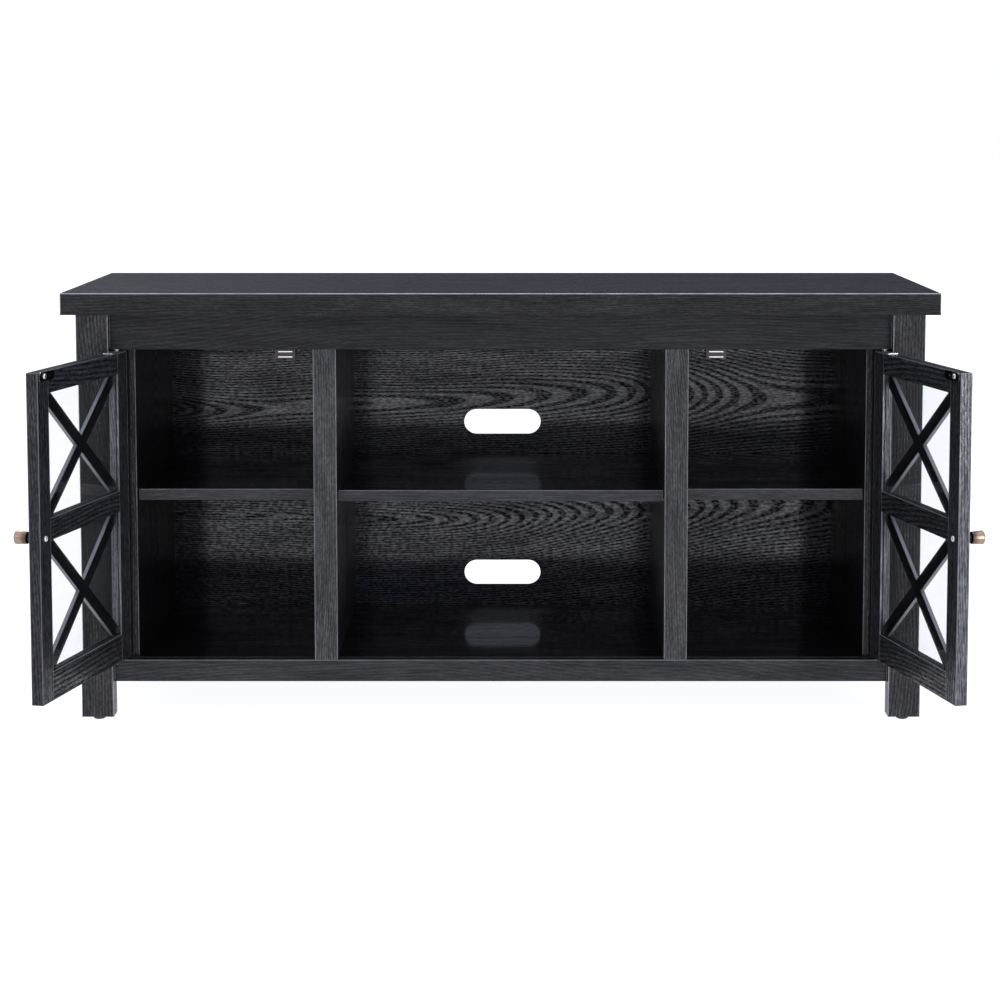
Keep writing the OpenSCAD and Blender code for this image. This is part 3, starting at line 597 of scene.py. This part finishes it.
def door_place(door):
    """A point's place on the door as it is when closed, so that its grain follows its wood."""
    hinge = hinges[door]
    pivot = Vector(hinge["pos_m"])
    turn = closed_turn if hinge["axis"][2] > 0 else -closed_turn

    def place():
        return Wire.node("VectorRotate", {"rotation_type": "Z_AXIS"},
                         {"Vector": object_place(), "Center": tuple(pivot), "Angle": turn})

    spin = (Matrix.Translation(pivot) @ Matrix.Rotation(turn, 4, "Z")
            @ Matrix.Translation(-pivot))
    return place, spin


def closed_box(name, spin):
    """The lowest and highest corners of a door piece with the door closed."""
    points = [spin @ vertex.co for vertex in frame["nodes"][name].data.vertices]
    return (Vector([min(point[i] for point in points) for i in range(3)]),
            Vector([max(point[i] for point in points) for i in range(3)]))


def smooth_bar(title, place, seed, low, high):
    """A bar wrapped in smooth black foil, without grain, a little scuffed; the narrow
    sides are painted paler, a painted sheen."""
    material, shader = start_material(title)
    spot = place()
    scuffs = noise(spot, detail=4.0, rough=0.65, scale=160.0)
    waves = noise(spot, detail=1.0, scale=22.0 + seed)
    fine = noise(spot, detail=2.0, scale=1500.0)
    tone = 0.5 * scuffs + 0.3 * waves + 0.2 * fine
    depth = abs(spot.parts()[1] - (low.y + high.y) / 2)
    half = (high.y - low.y) / 2
    # The narrow sides are painted paler than the wide faces: a painted sheen.
    side = depth.step(half - foil_skin, half - foil_skin / 3, 1.0, 0.0)
    colour = Wire.mixed(side, tone.tint(foil_dark, foil_light),
                        (0.5 * scuffs + 0.5 * waves).tint(*foil_side_sheen))
    finish_material(shader, colour, 0.24 + 0.12 * scuffs, 0.7 * fine + 0.3 * scuffs, 0.00004,
                    specular_ior_level=0.35)
    return material


for number, door in enumerate(("left_door", "right_door")):
    side = door.split("_")[0]
    place, spin = door_place(door)
    for k, (part, grain) in enumerate((("hinge_stile", along_z), ("free_stile", along_z),
                                       ("top_rail", along_x), ("middle_rail", along_x),
                                       ("bottom_rail", along_x))):
        name = f"{side}_{part}"
        low, high = closed_box(name, spin)
        ease(dress(name, laminate(name + "_oak", low, high, grain, 23.3 + 7 * number + 1.7 * k,
                                  place=place, lip_sheen_colour=stile_edge_sheen.get(name),
                                  light_colour=frame_grain_sheen, pores=1.0, base_shine=0.05,
                                  pitch=rail_pitch if "rail" in part else stile_pitch)),
             radius=0.0006)
    for k, part in enumerate(("upper_cross", "lower_cross")):
        name = f"{side}_{part}"
        low, high = closed_box(name, spin)
        ease(dress(name, smooth_bar(name + "_foil", place, 3 * number + k, low, high)),
             radius=0.0005)

# ---- Panes ----
# Clear 4 mm float glass with a faint green-grey body and a few wipe marks.

glass, shader = start_material("clear_float_glass")
wipes = noise(object_place(), detail=3.0, rough=0.6, scale=14.0).step(0.45, 0.75)
finish_material(shader, wipes.tint((0.952, 0.952, 0.955), (0.935, 0.936, 0.940)),
                0.004 + 0.012 * wipes, ior=1.5, transmission_weight=1.0)
clear = Wire.node("BsdfTransparent", None, {"Color": (0.93, 0.945, 0.94, 1)})
shade = Wire.node("LightPath", None, None, out="Is Shadow Ray")
pane = Wire.node("MixShader", None, {0: shade, 1: Wire(shader.outputs[0]), 2: clear})
Wire.tree.links.new(pane.socket, Wire.tree.nodes["Material Output"].inputs["Surface"])
for side in ("left", "right"):
    dress(f"{side}_glass", glass)

# ---- Knobs ----
# A turned brass knob with an antique bronze finish, rubbed brighter on the rim, on a short
# dark neck. A screw through the free stile holds it, its head on the inner face.


def antique_bronze(title, place, low, high):
    """Brushed bronze that darkens to black on the neck, with marks of the turning tool."""
    material, shader = start_material(title)
    spot = place()
    x, y, z = spot.parts()
    patina = noise(spot, detail=4.0, rough=0.6, scale=230.0)
    off_x, off_z = x - (low.x + high.x) / 2, z - (low.z + high.z) / 2
    radius = (off_x * off_x + off_z * off_z).math("SQRT")
    lines = noise(vector(radius * 2600, y * 2600, 0.0), detail=2.0)
    width, length = high.x - low.x, high.y - low.y
    neck = y.step(high.y - length * 0.38, high.y - length * 0.33)
    rim = radius.step(width * 0.44, width * 0.49)
    rubbed = (0.45 * patina + 0.35 * lines + 0.35 * rim).step(0.25, 0.85) * (1 - 0.94 * neck)
    finish_material(shader, rubbed.tint((0.026, 0.019, 0.015), (0.33, 0.25, 0.18)),
                    0.22 + 0.22 * (1 - rubbed), 0.4 * patina + 0.6 * lines, 0.00004,
                    metallic=0.9)
    return material


def phillips_head(work, radius, height, place, turn, recess=0.55, steps=32):
    """A domed screw head with a cross recess, seen from above along its own Z axis."""
    rows = [(radius, 0.0), (radius, height * 0.35), (radius * 0.90, height * 0.68),
            (radius * 0.70, height * 0.90), (radius * recess, height * 0.985),
            (radius * recess * 0.7, height), (radius * recess * 0.4, height), (0, height)]
    arm = radius * 0.16
    start = len(work.verts)
    turned(work, rows, (0, 0, 0), upright, steps)
    work.verts.ensure_lookup_table()
    fresh = list(work.verts)[start:]
    for point in fresh:
        x, y, z = point.co
        in_cross = min(abs(x), abs(y)) < arm and math.hypot(x, y) < radius * recess
        if z > height * 0.95 and in_cross:
            point.co.z -= height * 0.45
    bmesh.ops.transform(work, matrix=Matrix.Translation(place) @ turn, verts=fresh)


# The turned profile from the rosette on the stile, up the neck, to the flared head: shares
# of the knob's radius and of its length
knob_profile = [(0.0, 0.0), (0.60, 0.0), (0.62, 0.008), (0.62, 0.052), (0.60, 0.066),
                (0.53, 0.085), (0.50, 0.11), (0.47, 0.20), (0.46, 0.29), (0.50, 0.312),
                (0.62, 0.324), (0.80, 0.334), (0.87, 0.348), (0.895, 0.37), (0.895, 0.40),
                (0.91, 0.48), (0.93, 0.58), (0.958, 0.70), (0.985, 0.82), (1.0, 0.90),
                (1.0, 0.945), (0.985, 0.968), (0.95, 0.986), (0.90, 0.995), (0.80, 0.998),
                (0.76, 0.988), (0.70, 0.986), (0.62, 0.990), (0.35, 0.996), (0.0, 1.0)]
shank_radius = 0.002

for door in ("left_door", "right_door"):
    side = door.split("_")[0]
    place, spin = door_place(door)
    opened = spin.inverted()
    low, high = closed_box(f"{side}_knob", spin)
    bronze = antique_bronze(f"antique_bronze_{side}", place, low, high)
    x, z = (low.x + high.x) / 2, (low.z + high.z) / 2
    radius, length = (high.x - low.x) / 2, high.y - low.y
    outward = opened @ Matrix.Translation((x, high.y, z)) @ Matrix.Rotation(math.pi / 2, 4, "X")
    work = bmesh.new()
    turned(work, [(share * radius, height * length) for share, height in knob_profile],
           (0, 0, 0), outward, steps=64)
    piece(f"{side}_knob_turned", work, bronze, door, f"{side}_knob", sharp=50)

    low, high = closed_box(f"{side}_knob_screw", spin)
    inner_face_y = closed_box(f"{side}_free_stile", spin)[1].y
    inward = (opened @ Matrix.Translation((x, inner_face_y, z))
              @ Matrix.Rotation(-math.pi / 2, 4, "X"))
    head_height = high.y - inner_face_y
    work = bmesh.new()
    phillips_head(work, (high.x - low.x) / 2, head_height, (0, 0, 0), inward)
    shank = low.y - inner_face_y
    turned(work, [(0, shank), (shank_radius * 0.9, shank), (shank_radius, shank + 0.0006),
                  (shank_radius, -0.0001), (0, -0.0001)], (0, 0, 0), inward, steps=24)
    piece(f"{side}_knob_screw_fine", work, nickel, door, f"{side}_knob_screw")

# ---- Strikes, pivot plates and their screws ----
# A round-ended nickel strike plate sits on the inner face at the top corner, where the catch
# meets it. Steel plates let onto the top and bottom edges carry the pins.

polished = plated("polished_nickel", (0.50, 0.50, 0.50), (0.74, 0.74, 0.73), 0.07, tarnish=0.1)
for door in ("left_door", "right_door"):
    side = door.split("_")[0]
    ease(dress(f"{side}_strike_plate", polished), radius=0.0007, segments=4)
    ease(dress(f"{side}_pivot_plates", nickel), radius=0.0002)
    ease(dress(f"{side}_door_screws", steel), radius=0.0003)

low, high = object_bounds()
